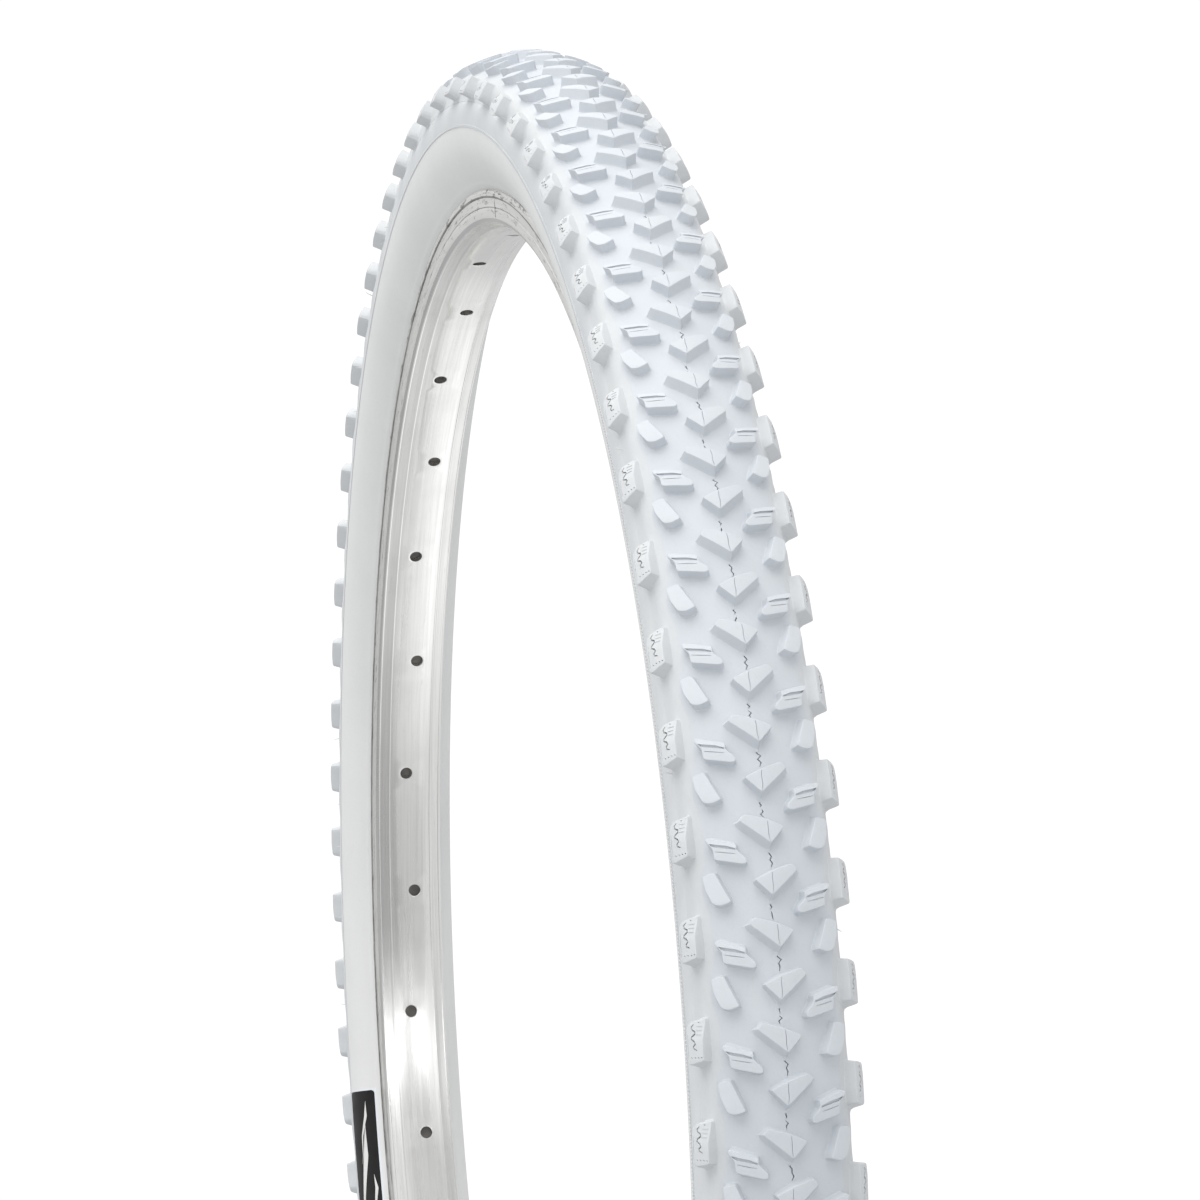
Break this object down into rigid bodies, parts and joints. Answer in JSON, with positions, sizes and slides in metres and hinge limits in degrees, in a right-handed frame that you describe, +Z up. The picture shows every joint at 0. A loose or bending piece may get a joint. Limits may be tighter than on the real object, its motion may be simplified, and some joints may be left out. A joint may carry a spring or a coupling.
{
  "type": "bicycle tyre on rim",
  "caption": "White knobby mountain bike tyre, inflated on a silver single-wall rim drilled for spokes, with inner tube and car-type valve.",
  "frame": {"origin": "the wheel's centre, where the hub's centre would be", "axes": "+Y along the axle line, +Z up with the rim's joint at the top and the valve at the bottom, +X completing a right-handed frame; the labelled sidewall faces -Y"},
  "size_m": [0.662, 0.048, 0.662],
  "materials": {
    "white_tread": "matt white rubber",
    "white_sidewall": "satin white rubber",
    "casing_cloth": "rubberised nylon cloth",
    "belt_cloth": "woven aramid",
    "chafer_cloth": "rubberised cloth",
    "bead_steel": "bronze-coated wire",
    "rim_aluminium": "polished extrusion",
    "tape_rubber": "matt",
    "tube_rubber": "satin",
    "boot_rubber": "satin",
    "brass": "turned",
    "core_brass": "turned",
    "pin_steel": "turned",
    "spring_steel": "drawn wire",
    "cap_plastic": "moulded",
    "seal_rubber": "matt",
    "nickel_nut": "nickel plated",
    "label_black": "printed film"
  },
  "bodies": {
    "wheel": {"tread": "white_tread", "sidewall_left": "white_sidewall", "sidewall_right": "white_sidewall", "sidewall_label": "label_black", "breaker_belt": "belt_cloth", "casing": "casing_cloth", "bead_wire_left": "bead_steel", "bead_wire_right": "bead_steel", "chafer_left": "chafer_cloth", "chafer_right": "chafer_cloth", "rim": "rim_aluminium", "rim_tape": "tape_rubber", "inner_tube": "tube_rubber", "valve_boot": "boot_rubber", "valve_stem": "brass", "valve_core": "core_brass", "valve_spring": "spring_steel"},
    "pin": {"valve_pin": "pin_steel"},
    "nut": {"valve_nut": "nickel_nut"},
    "cap": {"valve_cap": "cap_plastic", "valve_cap_seal": "seal_rubber"}
  },
  "joints": [
    {"name": "pin_press", "type": "slide", "parent": "wheel", "child": "pin", "axis": [0, 0, -1], "range_m": [0, 0.0015], "stiffness_N_per_m": 900, "springref_m": -0.0015, "deforming": ["valve_spring"]},
    {"name": "nut_slide", "type": "slide", "parent": "wheel", "child": "nut", "axis": [0, 0, 1], "range_m": [0, 0.012]},
    {"name": "cap_slide", "type": "slide", "parent": "wheel", "child": "cap", "axis": [0, 0, 1], "range_m": [0, 0.02]}
  ]
}
